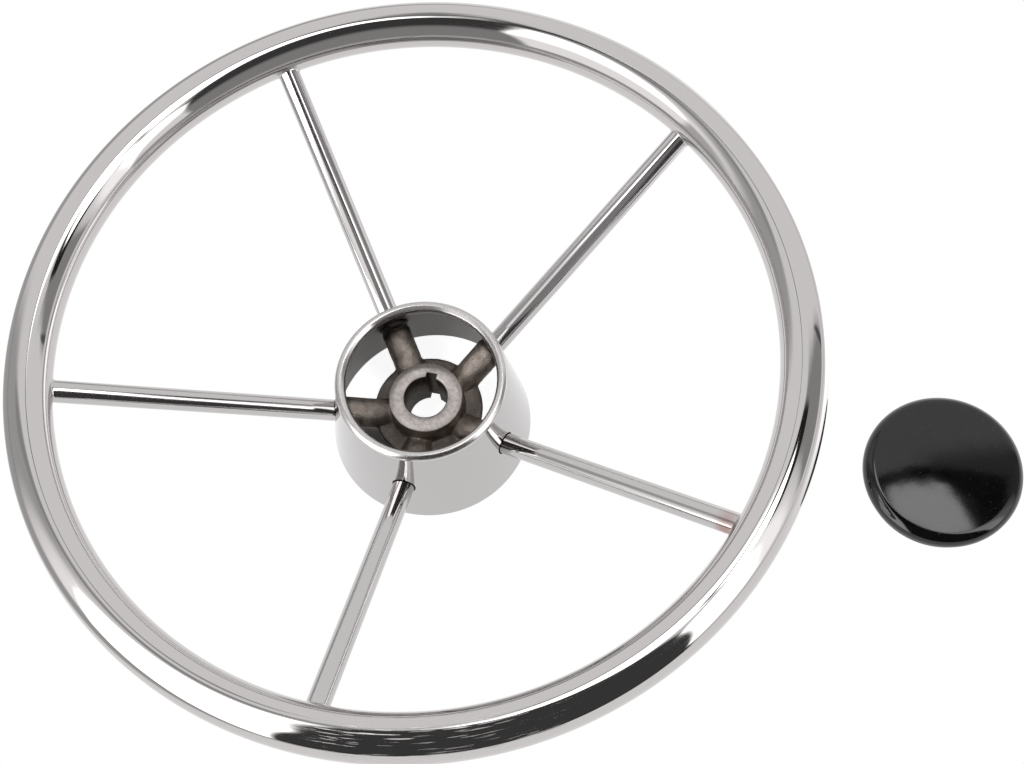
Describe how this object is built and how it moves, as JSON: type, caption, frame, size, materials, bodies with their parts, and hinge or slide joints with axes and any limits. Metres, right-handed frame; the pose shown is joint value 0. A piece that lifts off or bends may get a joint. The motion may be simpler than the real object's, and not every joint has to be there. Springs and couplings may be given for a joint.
{
  "type": "boat steering wheel",
  "caption": "Dished stainless boat steering wheel with a round tube rim, rod spokes, an open hub shell over a keyed boss, and its black centre cap lying beside it.",
  "frame": {"origin": "on the wheel's axis, in the plane of the hub shell's lower edge", "axes": "+Z along the wheel's axis towards the driver, +Y towards the keyway at twelve o'clock, +X towards the centre cap that lies beside the wheel"},
  "size_m": [0.4356, 0.343, 0.092],
  "materials": {
    "polished_stainless": "mirror polished stainless steel with fine scratches",
    "cast_steel": "rough as-cast stainless steel, with a machined boss face and bore",
    "black_moulding": "gloss black moulded plastic"
  },
  "bodies": {
    "root": {"rim": "polished_stainless", "spoke_1": "polished_stainless", "spoke_2": "polished_stainless", "spoke_3": "polished_stainless", "spoke_4": "polished_stainless", "spoke_5": "polished_stainless", "hub_shell": "polished_stainless", "hub_spider": "cast_steel", "centre_cap": "black_moulding"}
  },
  "joints": []
}
